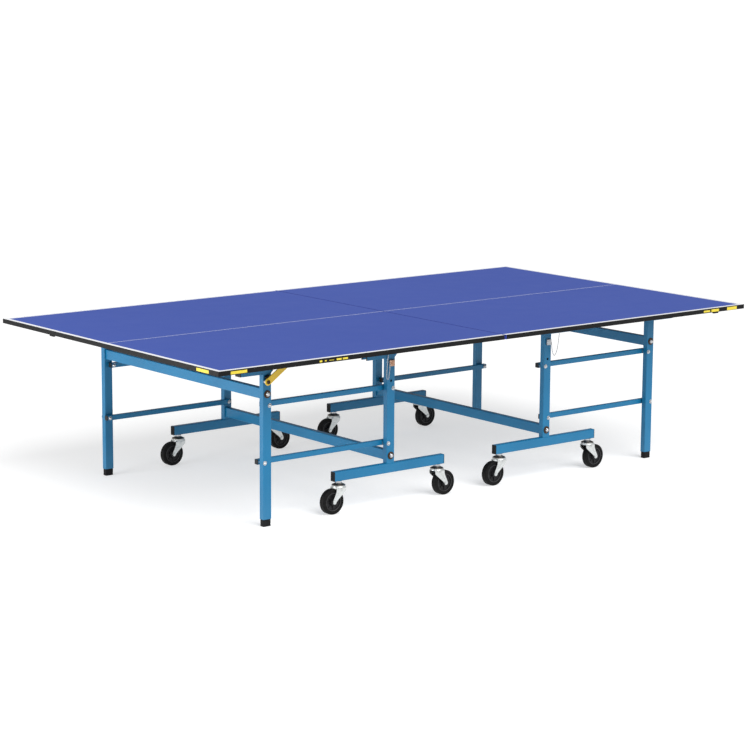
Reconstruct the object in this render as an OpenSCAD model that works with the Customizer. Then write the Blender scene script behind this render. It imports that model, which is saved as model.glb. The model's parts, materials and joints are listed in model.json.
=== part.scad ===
// Table tennis table in two separate halves. Each half is a wheeled carriage with two posts,
// a pair of outer legs, and parallel link bars that keep the legs upright while the top tips.
// Every module draws the half on the +X side; half_a() turns it round for the -X side.
// Origin: middle of the whole table on the floor. X runs along the table and Z is up.

/* [Top] */
// Length of the whole table
table_length = 2740; // [2600:10:2800]
// Width of the table
table_width = 1525; // [1450:5:1600]
// Height of the playing surface above the floor
play_height = 660; // [655:1:670]
// Thickness of the board
board_t = 18; // [15:1:20]
// Gap between the two halves at the net line
halves_gap = 3.6; // [3.4:0.2:6]
// Thickness of the edge band round each board
band_t = 2; // [1:0.5:3]
// Width of the rubber bumpers under the rim
bumper_w = 30; // [20:1:40]

/* [Frame] */
// Distance of the posts from the net line
post_x = 414; // [410:1:420]
// Distance of the outer legs from the net line
leg_x = 1010; // [990:1:1030]
// Distance of posts and legs from the table's middle line
side_y = 550; // [540:1:560]
// Size of the leg and post tubes along the table
tube_x = 38; // [36:1:40]
// Size of the leg and post tubes across the table
tube_y = 25; // [24:1:28]
// Wall of the frame tubes
wall = 2; // [1.5:0.5:2.5]
// Top of the outer leg and post tubes
tube_top = 590; // [585:1:592]
// Height of a cross beam's section
beam_h = 40; // [36:1:44]
// Middle height of the beam between the outer legs
upper_beam_z = 508; // [506:1:512]
// Middle height of the beam between the posts
lower_beam_z = 197; // [190:1:205]
// Distance that the inner tubes are clear of the outer ones
slide_gap = 0.5; // [0.3:0.1:0.8]
// Bottom end of the inner tubes
inner_low_z = 330; // [300:1:360]
// Height of the rubber feet
foot_h = 28; // [22:1:34]
// Distance that the feet stand in from the legs' faces
foot_inset = 1.5; // [1:0.5:1.5]

/* [Folding] */
// Height of the pivots that the top tips on
pivot_z = 612; // [610:1:614]
// Reach of the pivot brackets away from the net
bracket_out = 123; // [100:1:130]
// Reach of the pivot brackets towards the net
bracket_in = 25; // [20:1:25]
// Height of the upper link bars' pivots
upper_link_z = 464; // [460:1:466]
// Height of the lower link bars' pivots
lower_link_z = 246; // [243:1:250]
// Distance of the link pivots from the tube's middle
link_shift = 11; // [8:1:11]
// Section of a link bar
link_size = 20; // [18:1:20]
// Length of the stay lever between its bolt and its tip
lever_length = 126; // [110:1:128]
// Rise of the stay lever
lever_angle = 34; // [28:1:34]
// Height of the pins that set the table's height
pin_z = 565; // [560:1:568]
// Distance that the pins pull out
pin_travel = 60; // [40:1:60]

/* [Casters] */
// Length of a caster beam
caster_beam_length = 548; // [520:2:560]
// Height of a caster beam's section
caster_beam_h = 38; // [34:1:40]
// Bottom of the caster beams
caster_beam_z = 128; // [128:1:130]
// Distance of a caster's swivel from the middle of its beam
caster_x = 248; // [230:1:250]
// Radius of a caster wheel
wheel_r = 50; // [48:1:50]
// Width of a caster wheel
wheel_w = 26; // [22:1:28]
// Distance of a wheel's axle behind its swivel
trail = 33; // [28:1:36]

/* [Hidden] */
$fn = 48;
blue = [0.22, 0.52, 0.74];
zinc = [0.75, 0.76, 0.78];
black = [0.08, 0.08, 0.09];
under_z = play_height - board_t;
board_end = table_length / 2;
half_width = table_width / 2;
corner = 3;
hole_gap = 0.05;
open_gap = 0.3;
// Faces of the leg and post tubes, away from and towards the table's middle line
out_face = side_y + tube_y / 2;
in_face = side_y - tube_y / 2;
// Bracket plates stand this far outside the tubes
plate_t = 3;
plate_gap = 1;
plate_y = out_face + plate_gap;
deep_drop = 27;
shallow_drop = 15;
screw_out = 22;
flange_w = 54;
// Frame under the board
rail_y = 600;
rail_w = 20;
rail_h = 25;
middle_rail_h = 15;
rail_x0 = 60;
rail_x1 = 1290;
// Link bars run beside the tubes, towards the middle line
stud_r = 4;
stud_head_r = 8;
stud_head_h = 5.5;
stud_gap = 0.5;
stub_r = 7;
stub_h = 6;
collar = 4.5;
sleeve_r = 7;
link_y = in_face - collar - link_size / 2;
link_span = leg_x - post_x;
link_end = 9.5;
// Bolts
bolt_r = 5;
washer_r = 15;
washer_t = 3;
nut_r = 8.5;
nut_h = 9;
plug_depth = 12;
tilt_r = 5;
tilt_head_h = 5;
lever_x = leg_x + 8;
lever_z = 557;
lever_y = out_face + 13.5;
lever_t = 5;
lever_w = 24;
lever_head_r = 8;
lever_gap = 0.3;
pin_r = 5;
pin_head_w = 22;
pin_head_h = 25;
chain_r = 1.4;
// Casters
caster_top = caster_beam_z;
fork_plate_z = 104;
fork_t = 3;
cheek_y = wheel_w / 2 + 3.5;
axle_r = 6;
axle_nut_r = 8;
axle_nut_h = 4;
kingpin_r = 6;
kingpin_head_r = 9;
stem_r = 12;
fork_back = 22;
fork_front = 26;
dome_r = 27;
dome_h = 9;
dome_top = 119;

module half_a() {
    rotate([0, 0, 180]) children();
}

module both_sides() {
    children();
    mirror([0, 1, 0]) children();
}

// A hollow tube along Z, given by its middle, outer size and ends
module tube_z(x, y, size_x, size_y, low, high) {
    translate([x, y, low]) difference() {
        translate([-size_x / 2, -size_y / 2, 0]) cube([size_x, size_y, high - low]);
        translate([-size_x / 2 + wall, -size_y / 2 + wall, -1])
            cube([size_x - 2 * wall, size_y - 2 * wall, high - low + 2]);
    }
}

// A hollow tube along Y, centred on y = 0
module tube_across(x, z, size_x, size_z, length) {
    translate([x, -length / 2, z]) difference() {
        translate([-size_x / 2, 0, -size_z / 2]) cube([size_x, length, size_z]);
        translate([-size_x / 2 + wall, -1, -size_z / 2 + wall])
            cube([size_x - 2 * wall, length + 2, size_z - 2 * wall]);
    }
}

// A cylinder along Y from one y to another
module rod_y(x, z, r, y0, y1) {
    translate([x, y1, z]) rotate([90, 0, 0]) cylinder(r = r, h = y1 - y0);
}

// ---- The top ----

module board_outline(inset) {
    x0 = halves_gap / 2 + inset;
    x1 = board_end - inset;
    y1 = half_width - inset;
    polygon([
        [x0 + corner, -y1], [x1 - corner, -y1], [x1, -y1 + corner], [x1, y1 - corner],
        [x1 - corner, y1], [x0 + corner, y1], [x0, y1 - corner], [x0, -y1 + corner]
    ]);
}

module board() {
    color("slateblue") translate([0, 0, under_z])
        linear_extrude(height = board_t) board_outline(band_t);
}

module edge_band() {
    color(black) {
        translate([0, 0, under_z]) linear_extrude(height = board_t) difference() {
            board_outline(0);
            board_outline(band_t);
        }
        // Rubber bumpers under the rim
        translate([board_end - 12, -385 - bumper_w / 2, under_z - 6]) cube([10, bumper_w, 6]);
        translate([1198 - bumper_w / 2, -half_width + 2, under_z - 6]) cube([bumper_w, 10, 6]);
    }
}

// A hollow rail against the board, along X or along Y
module rail(x, y, size_x, size_y, height) {
    translate([x, y, under_z - height]) difference() {
        cube([size_x, size_y, height]);
        if (size_x > size_y)
            translate([-1, wall, wall]) cube([size_x + 2, size_y - 2 * wall, height - 2 * wall]);
        else
            translate([wall, -1, wall]) cube([size_x - 2 * wall, size_y + 2, height - 2 * wall]);
    }
}

// The middle cross rail is shallower, so that the folded link bars pass below it
module top_rails() {
    inner_y = rail_y - rail_w / 2;
    color(blue) {
        both_sides() rail(rail_x0, inner_y, rail_x1 - rail_x0, rail_w, rail_h);
        for (x = [rail_x0 + 10, rail_x1 - 10 - rail_w])
            rail(x, -inner_y, rail_w, 2 * inner_y, rail_h);
        rail((post_x + leg_x) / 2, -inner_y, rail_w, 2 * inner_y, middle_rail_h);
    }
}

// A channel that straddles a tube, open below, with screw ears against the board.
// Its plates reach drop below the pivot, and their inner corner is cut to swing past the pin.
module bracket(x, drop) {
    cut = 12;
    bottom = pivot_z - drop;
    top = under_z - plate_t + 0.5;
    color(blue) difference() {
        union() {
            translate([x - bracket_in, side_y - flange_w / 2, under_z - plate_t])
                cube([bracket_in + bracket_out, flange_w, plate_t]);
            for (y = [in_face - plate_gap, plate_y + plate_t])
                translate([x, y, 0]) rotate([90, 0, 0]) linear_extrude(height = plate_t) polygon([
                    [-bracket_in, bottom + cut], [-bracket_in + cut, bottom], [bracket_out, bottom],
                    [bracket_out, top], [-bracket_in, top]
                ]);
        }
        rod_y(x, pivot_z, tilt_r + hole_gap, in_face - 20, out_face + 20);
        // Screw holes in the ears
        for (dx = [-10, bracket_out - 30], y = [side_y - screw_out, side_y + screw_out])
            translate([x + dx, y, under_z - 10]) cylinder(r = 2.5, h = 20);
    }
}

// The brackets on the lever's side of the half are the deeper ones
module brackets() {
    for (x = [post_x, leg_x]) {
        bracket(x, deep_drop);
        mirror([0, 1, 0]) bracket(x, shallow_drop);
    }
}

// Pivots of the top: flush in the inner plate, with a low head outside
module tilt_bolts() {
    color(zinc) both_sides() for (x = [post_x, leg_x]) {
        rod_y(x, pivot_z, tilt_r, in_face - plate_gap - plate_t + 0.2, plate_y + plate_t + 2);
        rod_y(x, pivot_z, nut_r, plate_y + plate_t, plate_y + plate_t + tilt_head_h);
    }
}

// ---- Height adjustment ----

// Inner tube with a pivot hole at its top and a slot that the height pin crosses
module inner_tube(x, hole_r, slotted) {
    size_x = tube_x - 2 * wall - 2 * slide_gap;
    size_y = tube_y - 2 * wall - 2 * slide_gap;
    slot_w = 2 * (pin_r + 0.8);
    difference() {
        tube_z(x, side_y, size_x, size_y, inner_low_z, pivot_z + 17);
        rod_y(x, pivot_z, hole_r, in_face, out_face);
        if (slotted)
            translate([x - slot_w / 2, in_face, pin_z - 108]) cube([slot_w, tube_y, 116]);
    }
}

module lift_tubes() {
    color(zinc) both_sides() inner_tube(post_x, tilt_r + hole_gap, true);
}

module leg_tubes() {
    color(zinc) both_sides() inner_tube(leg_x, tilt_r + open_gap, false);
}

// Square-headed pin through one post, native place at +Y
module height_pin() {
    color([0.72, 0.5, 0.36]) {
        rod_y(post_x, pin_z, pin_r, in_face - 3, out_face + 3);
        difference() {
            translate([post_x - pin_head_w / 2, out_face + 0.5, pin_z - pin_head_h / 2])
                cube([pin_head_w, 10, pin_head_h]);
            // Hole for the chain
            translate([post_x + pin_head_w / 2 - 4, out_face + 7, pin_z - pin_head_h])
                cylinder(r = 1.6, h = 2 * pin_head_h);
        }
    }
}

// The chain hangs in a loop from the pin's head to a bracket; its points are [x, z] from the pin.
// One half's chains are hooked in near the post, the other half's further out.
near_loop = [
    [13, -3], [13.5, -14], [15, -29], [17, -44], [19.5, -57], [23, -63], [27, -60],
    [29, -49], [28.5, -33], [27, -14], [25, 6], [23, 24], [21.5, 38]
];
far_loop = [
    [13, -3], [13.5, -12], [15, -26], [18, -40], [22, -51], [27, -57], [33, -56],
    [39, -48], [44, -34], [48, -16], [51, 4], [54, 24], [56, 38]
];
function chain_tangent(points, i) = let (
    n = len(points) - 1,
    d = points[min(i + 1, n)] - points[max(i - 1, 0)]
) d / norm(d);
chain_sides = 8;
module pin_chain(points) {
    n = len(points);
    chain_y = out_face + 8.5;
    rings = [for (i = [0:n - 1], k = [0:chain_sides - 1]) let (
        t = chain_tangent(points, i),
        a = 360 * k / chain_sides,
        across = chain_r * cos(a)
    ) [
        post_x + points[i][0] + across * t[1],
        chain_y + chain_r * sin(a),
        pin_z + points[i][1] - across * t[0]
    ]];
    sides = [for (i = [0:n - 2], k = [0:chain_sides - 1]) let (
        a = i * chain_sides + k,
        b = i * chain_sides + (k + 1) % chain_sides
    ) [a, b, b + chain_sides, a + chain_sides]];
    first = [for (k = [chain_sides - 1:-1:0]) k];
    last = [for (k = [0:chain_sides - 1]) (n - 1) * chain_sides + k];
    polyhedron(points = rings, faces = concat([first], sides, [last]), convexity = 4);
}

module pin_chains(points) {
    color(zinc) both_sides() pin_chain(points);
}

// ---- The carriage ----

module posts() {
    low = caster_beam_z + caster_beam_h;
    color(blue) both_sides() difference() {
        tube_z(post_x, side_y, tube_x, tube_y, low, tube_top);
        rod_y(post_x, pin_z, pin_r + hole_gap, in_face - 5, out_face + 5);
        // Second hole for the height pin
        rod_y(post_x, pin_z - 71, pin_r + hole_gap, side_y, out_face + 5);
        rod_y(post_x, lower_beam_z, bolt_r + hole_gap, in_face - 5, out_face + 5);
        rod_y(post_x - link_shift, upper_link_z, stud_r + hole_gap, in_face - 5, side_y);
        rod_y(post_x + link_shift, lower_link_z, stud_r + hole_gap, in_face - 5, side_y);
    }
}

// A tube with a threaded plug in each end for the bolts that hold it
module cross_beam(x, z) {
    length = 2 * in_face;
    plug_t = 15;
    color(blue) difference() {
        union() {
            tube_across(x, z, tube_y, beam_h, length);
            both_sides() translate([x - tube_y / 2 + wall, in_face - plug_t, z - beam_h / 2 + wall])
                cube([tube_y - 2 * wall, plug_t, beam_h - 2 * wall]);
        }
        both_sides() rod_y(x, z, bolt_r + hole_gap, in_face - plug_t - 1, in_face + 1);
    }
}

module lower_cross_beam() {
    cross_beam(post_x, lower_beam_z);
}

module upper_cross_beam() {
    cross_beam(leg_x, upper_beam_z);
}

module caster_beams() {
    x0 = post_x - caster_beam_length / 2;
    color(blue) both_sides() difference() {
        translate([x0, side_y - tube_y / 2, caster_beam_z]) difference() {
            cube([caster_beam_length, tube_y, caster_beam_h]);
            translate([-1, wall, wall])
                cube([caster_beam_length + 2, tube_y - 2 * wall, caster_beam_h - 2 * wall]);
        }
        for (dx = [-caster_x, caster_x])
            translate([post_x + dx, side_y, caster_beam_z - 5])
                cylinder(r = kingpin_r + hole_gap, h = 10);
    }
}

// Plugs in the open ends of the caster beams
module beam_caps() {
    x0 = post_x - caster_beam_length / 2;
    cap_t = 3;
    plug = 14;
    color(black) both_sides() for (end = [0, 1]) {
        x = end == 0 ? x0 - cap_t : x0 + caster_beam_length;
        plug_x = end == 0 ? x0 : x0 + caster_beam_length - plug;
        translate([x, side_y - tube_y / 2, caster_beam_z]) cube([cap_t, tube_y, caster_beam_h]);
        translate([plug_x - 0.5, side_y - tube_y / 2 + wall, caster_beam_z + wall])
            cube([plug + 1, tube_y - 2 * wall, caster_beam_h - 2 * wall]);
    }
}

// Washer and nut on an outer face
module washer_and_nut(x, z) {
    rod_y(x, z, washer_r, out_face, out_face + washer_t);
    rod_y(x, z, nut_r, out_face + washer_t, out_face + washer_t + nut_h);
}

// Stud that a link bar turns on: a collar against the tube, a nut on the inner side of the bar,
// and the low head of the bolt on the tube's outer face
module link_stud(x, z) {
    bar_in = link_y - link_size / 2;
    bar_out = link_y + link_size / 2;
    rod_y(x, z, stud_r, bar_in - 4, in_face + wall);
    rod_y(x, z, stud_head_r, bar_out + stud_gap, in_face);
    rod_y(x, z, stud_head_r, bar_in - stud_gap - stud_head_h, bar_in - stud_gap);
    rod_y(x, z, stub_r, out_face, out_face + stub_h);
}

// The two studs on one tube
module link_studs(x) {
    link_stud(x - link_shift, upper_link_z);
    link_stud(x + link_shift, lower_link_z);
}

// Bolts of the beam and the links, and the kingpins that the casters turn on
module carriage_bolts() {
    head_z = fork_plate_z - 6.3;
    stem_z = dome_top + 0.4;
    color(zinc) both_sides() {
        rod_y(post_x, lower_beam_z, bolt_r, in_face - plug_depth, out_face + washer_t + 2);
        washer_and_nut(post_x, lower_beam_z);
        link_studs(post_x);
        for (dx = [-caster_x, caster_x]) translate([post_x + dx, side_y, 0]) {
            translate([0, 0, head_z]) cylinder(r = kingpin_r, h = caster_top + 8 - head_z);
            translate([0, 0, head_z]) cylinder(r = kingpin_head_r, h = 6);
            translate([0, 0, stem_z]) cylinder(r = stem_r, h = caster_top - stem_z);
        }
    }
}

// ---- Links, legs and lever ----

// Two hollow bars whose pivots have sleeves; shift moves both pivots along X
module link_bars(shift, z, post_gap, leg_gap) {
    x0 = post_x + shift - link_end;
    length = link_span + 2 * link_end;
    half = link_size / 2;
    color(blue) both_sides() translate([x0, link_y, z]) difference() {
        union() {
            difference() {
                translate([0, -half, -half]) cube([length, link_size, link_size]);
                translate([-1, wall - half, wall - half])
                    cube([length + 2, link_size - 2 * wall, link_size - 2 * wall]);
            }
            for (x = [link_end, link_end + link_span]) rod_y(x, 0, sleeve_r, 1 - half, half - 1);
        }
        rod_y(link_end, 0, stud_r + post_gap, -link_size, link_size);
        rod_y(link_end + link_span, 0, stud_r + leg_gap, -link_size, link_size);
    }
}

module upper_links() {
    link_bars(-link_shift, upper_link_z, hole_gap, hole_gap);
}

// The outer pivot of the lower bars has a looser hole, because it closes the linkage
module lower_links() {
    link_bars(link_shift, lower_link_z, hole_gap, open_gap);
}

module legs() {
    color(blue) both_sides() difference() {
        tube_z(leg_x, side_y, tube_x, tube_y, foot_h, tube_top);
        rod_y(leg_x, upper_beam_z, bolt_r + hole_gap, in_face - 5, in_face + wall + 1);
        rod_y(leg_x - link_shift, upper_link_z, stud_r + hole_gap, in_face - 5, side_y);
        rod_y(leg_x + link_shift, lower_link_z, stud_r + hole_gap, in_face - 5, side_y);
    }
}

// Rubber blocks a little narrower than the legs, each with a plug inside the leg's lower end
module feet() {
    foot_x = tube_x - 2 * foot_inset;
    foot_y = tube_y - 2 * foot_inset;
    plug_x = tube_x - 2 * wall;
    plug_y = tube_y - 2 * wall;
    color(black) both_sides() translate([leg_x, side_y, 0]) {
        translate([-foot_x / 2, -foot_y / 2, 0]) cube([foot_x, foot_y, foot_h]);
        translate([-plug_x / 2, -plug_y / 2, 1]) cube([plug_x, plug_y, foot_h - 1 + plug_depth]);
    }
}

module leg_bolts() {
    lever_out = lever_y + lever_t;
    color(zinc) {
        both_sides() {
            rod_y(leg_x, upper_beam_z, bolt_r, in_face - plug_depth, in_face + wall);
            washer_and_nut(leg_x, upper_beam_z);
            link_studs(leg_x);
        }
        // Shoulder screw of the stay lever
        rod_y(lever_x, lever_z, bolt_r, out_face, lever_out + 4);
        rod_y(lever_x, lever_z, lever_head_r, out_face, lever_y - lever_gap);
        rod_y(lever_x, lever_z, lever_head_r, lever_out + lever_gap, lever_out + 4);
    }
}

// Flat bar with round ends, on the +Y leg only
module stay_lever() {
    tip_r = lever_w / 2;
    color([0.87, 0.72, 0.2]) translate([lever_x, lever_y + lever_t, lever_z]) rotate([90, 0, 0])
        linear_extrude(height = lever_t) rotate([0, 0, -lever_angle]) difference() {
            union() {
                circle(r = tip_r + 1);
                translate([-lever_length, -tip_r]) square([lever_length, lever_w]);
                translate([-lever_length, 0]) circle(r = tip_r);
            }
            circle(r = bolt_r + hole_gap);
        }
}

// ---- Casters ----

// Places a caster by its side of the beam (1 away from the net, -1 towards it) and its side in y
module at_caster(out, side) {
    translate([post_x + out * caster_x, side * side_y, 0])
        rotate([0, 0, out > 0 ? 0 : 180]) children();
}

// The fork trails towards its own +X
module fork(out, side) {
    cheek_out = cheek_y + fork_t;
    cone_z = fork_plate_z + dome_h - 1;
    color(zinc) at_caster(out, side) {
        difference() {
            union() {
                translate([-fork_back, -cheek_out, fork_plate_z])
                    cube([fork_back + fork_front, 2 * cheek_out, fork_t]);
                for (y = [-cheek_y, cheek_out]) translate([0, y, 0]) rotate([90, 0, 0])
                    linear_extrude(height = fork_t) {
                        polygon([
                            [-fork_back, fork_plate_z + 1], [fork_front, fork_plate_z + 1],
                            [fork_front, fork_plate_z - 8], [trail + 9, wheel_r + 2],
                            [trail - 9, wheel_r - 5], [-14, fork_plate_z - 16]
                        ]);
                        translate([trail, wheel_r]) circle(r = 11);
                    }
                translate([0, 0, fork_plate_z]) cylinder(r = dome_r, h = dome_h);
                translate([0, 0, cone_z]) cylinder(r1 = 24, r2 = 16, h = dome_top - cone_z);
            }
            translate([0, 0, fork_plate_z - 1]) cylinder(r = kingpin_r + hole_gap, h = 40);
            rod_y(trail, wheel_r, axle_r + hole_gap, -2 * cheek_out, 2 * cheek_out);
        }
        // Axle bolt, with a head at each end
        rod_y(trail, wheel_r, axle_r, 1 - cheek_out - axle_nut_h, cheek_out + axle_nut_h - 1);
        rod_y(trail, wheel_r, axle_nut_r, cheek_out, cheek_out + axle_nut_h);
        rod_y(trail, wheel_r, axle_nut_r, -cheek_out - axle_nut_h, -cheek_out);
    }
}

module wheel(out, side) {
    half = wheel_w / 2;
    bore_r = axle_r + hole_gap;
    hub_r = 14;
    hub_y = cheek_y - 0.4;
    rim_r = 33;
    web_y = 7;
    color(black) at_caster(out, side) translate([trail, 0, wheel_r]) rotate([90, 0, 0])
        rotate_extrude() polygon([
            [bore_r, -hub_y], [hub_r, -hub_y], [hub_r, -web_y], [rim_r, -web_y], [rim_r, -half],
            [wheel_r - 4, -half], [wheel_r, 6 - half], [wheel_r, half - 6], [wheel_r - 4, half],
            [rim_r, half], [rim_r, web_y], [hub_r, web_y], [hub_r, hub_y], [bore_r, hub_y]
        ]);
}

// ---- Half A, on the -X side: its front (-Y) is the drawn half's +Y side ----

half_a() board();  // board_a
half_a() edge_band();  // edge_band_a
half_a() top_rails();  // top_rails_a
half_a() brackets();  // brackets_a
half_a() tilt_bolts();  // tilt_bolts_a
half_a() lift_tubes();  // lift_tubes_a
half_a() posts();  // posts_a
half_a() lower_cross_beam();  // lower_cross_beam_a
half_a() caster_beams();  // caster_beams_a
half_a() beam_caps();  // beam_caps_a
half_a() carriage_bolts();  // carriage_bolts_a
half_a() height_pin();  // height_pin_front_a
half_a() mirror([0, 1, 0]) height_pin();  // height_pin_back_a
half_a() pin_chains(near_loop);  // pin_chains_a
half_a() upper_links();  // upper_links_a
half_a() lower_links();  // lower_links_a
half_a() legs();  // legs_a
half_a() upper_cross_beam();  // upper_cross_beam_a
half_a() feet();  // feet_a
half_a() leg_bolts();  // leg_bolts_a
half_a() leg_tubes();  // leg_tubes_a
half_a() stay_lever();  // stay_lever_a
half_a() fork(1, 1);  // fork_a_out_front
half_a() fork(1, -1);  // fork_a_out_back
half_a() fork(-1, 1);  // fork_a_in_front
half_a() fork(-1, -1);  // fork_a_in_back
half_a() wheel(1, 1);  // wheel_a_out_front
half_a() wheel(1, -1);  // wheel_a_out_back
half_a() wheel(-1, 1);  // wheel_a_in_front
half_a() wheel(-1, -1);  // wheel_a_in_back

// ---- Half B, on the +X side: its front (-Y) is the drawn half's -Y side ----

board();  // board_b
edge_band();  // edge_band_b
top_rails();  // top_rails_b
brackets();  // brackets_b
tilt_bolts();  // tilt_bolts_b
lift_tubes();  // lift_tubes_b
posts();  // posts_b
lower_cross_beam();  // lower_cross_beam_b
caster_beams();  // caster_beams_b
beam_caps();  // beam_caps_b
carriage_bolts();  // carriage_bolts_b
mirror([0, 1, 0]) height_pin();  // height_pin_front_b
height_pin();  // height_pin_back_b
pin_chains(far_loop);  // pin_chains_b
upper_links();  // upper_links_b
lower_links();  // lower_links_b
legs();  // legs_b
upper_cross_beam();  // upper_cross_beam_b
feet();  // feet_b
leg_bolts();  // leg_bolts_b
leg_tubes();  // leg_tubes_b
stay_lever();  // stay_lever_b
fork(1, -1);  // fork_b_out_front
fork(1, 1);  // fork_b_out_back
fork(-1, -1);  // fork_b_in_front
fork(-1, 1);  // fork_b_in_back
wheel(1, -1);  // wheel_b_out_front
wheel(1, 1);  // wheel_b_out_back
wheel(-1, -1);  // wheel_b_in_front
wheel(-1, 1);  // wheel_b_in_back
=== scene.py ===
"""Looks of a folding table tennis table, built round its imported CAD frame. Metres, +Z up.

Each half is described once, as it lies on the +X side ("native"), and turned about Z for half A.
Sizes and places come from the boxes of the CAD nodes and from the joints.
"""

import json
import math

import bmesh
import bpy
from mathutils import Matrix, Vector


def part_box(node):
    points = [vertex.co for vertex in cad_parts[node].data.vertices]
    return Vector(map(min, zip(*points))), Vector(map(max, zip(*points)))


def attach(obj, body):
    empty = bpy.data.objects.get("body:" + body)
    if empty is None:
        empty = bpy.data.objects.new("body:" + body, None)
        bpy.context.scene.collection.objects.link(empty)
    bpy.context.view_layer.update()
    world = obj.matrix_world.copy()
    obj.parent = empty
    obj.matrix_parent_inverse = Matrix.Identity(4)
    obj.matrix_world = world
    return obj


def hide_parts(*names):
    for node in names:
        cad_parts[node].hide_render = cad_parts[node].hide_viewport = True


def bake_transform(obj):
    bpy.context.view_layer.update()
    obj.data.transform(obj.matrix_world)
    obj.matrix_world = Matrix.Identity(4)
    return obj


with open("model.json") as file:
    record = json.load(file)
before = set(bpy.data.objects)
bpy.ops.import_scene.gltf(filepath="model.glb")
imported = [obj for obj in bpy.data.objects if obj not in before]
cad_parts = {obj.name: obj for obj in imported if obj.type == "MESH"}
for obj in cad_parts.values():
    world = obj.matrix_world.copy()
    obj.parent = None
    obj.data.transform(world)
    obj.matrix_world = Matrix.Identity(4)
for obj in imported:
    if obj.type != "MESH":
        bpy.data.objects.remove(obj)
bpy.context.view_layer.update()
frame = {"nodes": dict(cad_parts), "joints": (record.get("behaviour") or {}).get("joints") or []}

MM = 0.001
JOINTS = {joint["name"]: joint for joint in frame["joints"]}
TURNS = {"a": Matrix.Rotation(math.pi, 4, "Z"), "b": Matrix()}
SIDES = (1, -1)
CREASE = math.radians(35)
WALL = 2 * MM
TUBE_R = 2.6 * MM
PLUG_FIT = 4.4 * MM


def end_name(half, side):
    """The world name of a half's native +Y (1) or -Y (-1) side."""
    return "front" if (side > 0) == (half == "a") else "back"


# ---- Measures of the frame, taken on half B, which lies native ----


def low(node):
    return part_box(node)[0]


def high(node):
    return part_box(node)[1]


def middle(node):
    return (low(node) + high(node)) / 2


# Tubes, board and beams
post_x = middle("posts_b").x
leg_x = middle("legs_b").x
out_face = high("posts_b").y
in_face = high("lower_cross_beam_b").y
side_y = (out_face + in_face) / 2
tube_x = high("posts_b").x - low("posts_b").x
tube_y = out_face - in_face
tube_top = high("posts_b").z
top_z = high("board_b").z
under_z = low("board_b").z
board_end = high("edge_band_b").x
half_width = high("edge_band_b").y
net_edge = low("edge_band_b").x
upper_beam_z = middle("upper_cross_beam_b").z
lower_beam_z = middle("lower_cross_beam_b").z
foot_top = low("legs_b").z
beam_low = low("caster_beams_b")
beam_high = high("caster_beams_b")
rail_low = low("top_rails_b")
rail_high = high("top_rails_b")
rail_w = 20 * MM
rail_h = 25 * MM
rail_y = rail_high.y - rail_w / 2

# Links and pins
upper_link_z = middle("upper_links_b").z
lower_link_z = middle("lower_links_b").z
link_size = high("upper_links_b").z - low("upper_links_b").z
link_out = high("upper_links_b").y
link_in = link_out - link_size
link_y = (link_in + link_out) / 2
link_shift = post_x - JOINTS["link_upper_b_swing"]["pos_m"][0]
pin_z = middle("height_pin_back_b").z
lower_hole_drop = 71 * MM

# Brackets: the plates on the lever's side of a half reach lower
pivot_z = JOINTS["top_b_tilt"]["pos_m"][2]
bracket_in = post_x - low("brackets_b").x
bracket_out = high("brackets_b").x - leg_x
plate_t = 3 * MM
plate_gap = 1 * MM
plate_out = out_face + plate_gap + plate_t
deep_drop = pivot_z - low("brackets_b").z
shallow_drop = 15 * MM

# Stay lever
lever_pivot = Vector(JOINTS["lever_b_swing"]["pos_m"])
lever_y0 = low("stay_lever_b").y
lever_y1 = high("stay_lever_b").y
lever_rise = math.radians(34)
lever_eye_r = 13 * MM
lever_tip_r = 12 * MM
lever_reach = (lever_pivot.x - low("stay_lever_b").x - lever_tip_r) / math.cos(lever_rise)

# Casters
axle_z = middle("wheel_b_out_back").z
wheel_r = high("wheel_b_out_back").z - axle_z
wheel_half = 13 * MM
swivel_out_x = JOINTS["caster_b_out_back_swivel"]["pos_m"][0]
swivel_in_x = JOINTS["caster_b_in_back_swivel"]["pos_m"][0]
trail = JOINTS["caster_b_out_back_roll"]["pos_m"][0] - swivel_out_x
fork_top = high("fork_b_out_back").z


# ---- Mesh helpers ----


def shape():
    return bmesh.new()


def put_all(target, part, place=Matrix()):
    """Copies the bmesh part into target, moved by place, with its own material slots."""
    copies = {v: target.verts.new(place @ v.co) for v in part.verts}
    for face in part.faces:
        target.faces.new([copies[v] for v in face.verts]).material_index = face.material_index
    part.free()


def put(target, part, place=Matrix(), slot=0):
    """Copies the bmesh part into target, moved by place, with one material slot."""
    for face in part.faces:
        face.material_index = slot
    put_all(target, part, place)


def arc(radius_at, height_at, radius, start, stop, steps):
    """Points of an arc in a lathe profile; angles are in degrees from the outward direction."""
    points = []
    for i in range(steps + 1):
        angle = math.radians(start + (stop - start) * i / steps)
        points.append((radius_at + radius * math.cos(angle), height_at + radius * math.sin(angle)))
    return points


def skin(bm, rings, closed=False, ends=False):
    """Faces between neighbouring rings of vertices, where a ring of one vertex is a pole.

    closed joins the last ring to the first, and ends fills the first and the last ring.
    """
    count = max(len(ring) for ring in rings)
    pairs = list(zip(rings, rings[1:]))
    if closed:
        pairs.append((rings[-1], rings[0]))
    for first, second in pairs:
        for k in range(count):
            n = (k + 1) % count
            corners = [first[k % len(first)], first[n % len(first)]]
            corners += [second[n % len(second)], second[k % len(second)]]
            unique = list(dict.fromkeys(corners))
            if len(unique) > 2:
                bm.faces.new(unique)
    if ends:
        bm.faces.new(rings[0])
        bm.faces.new(rings[-1])


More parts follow.
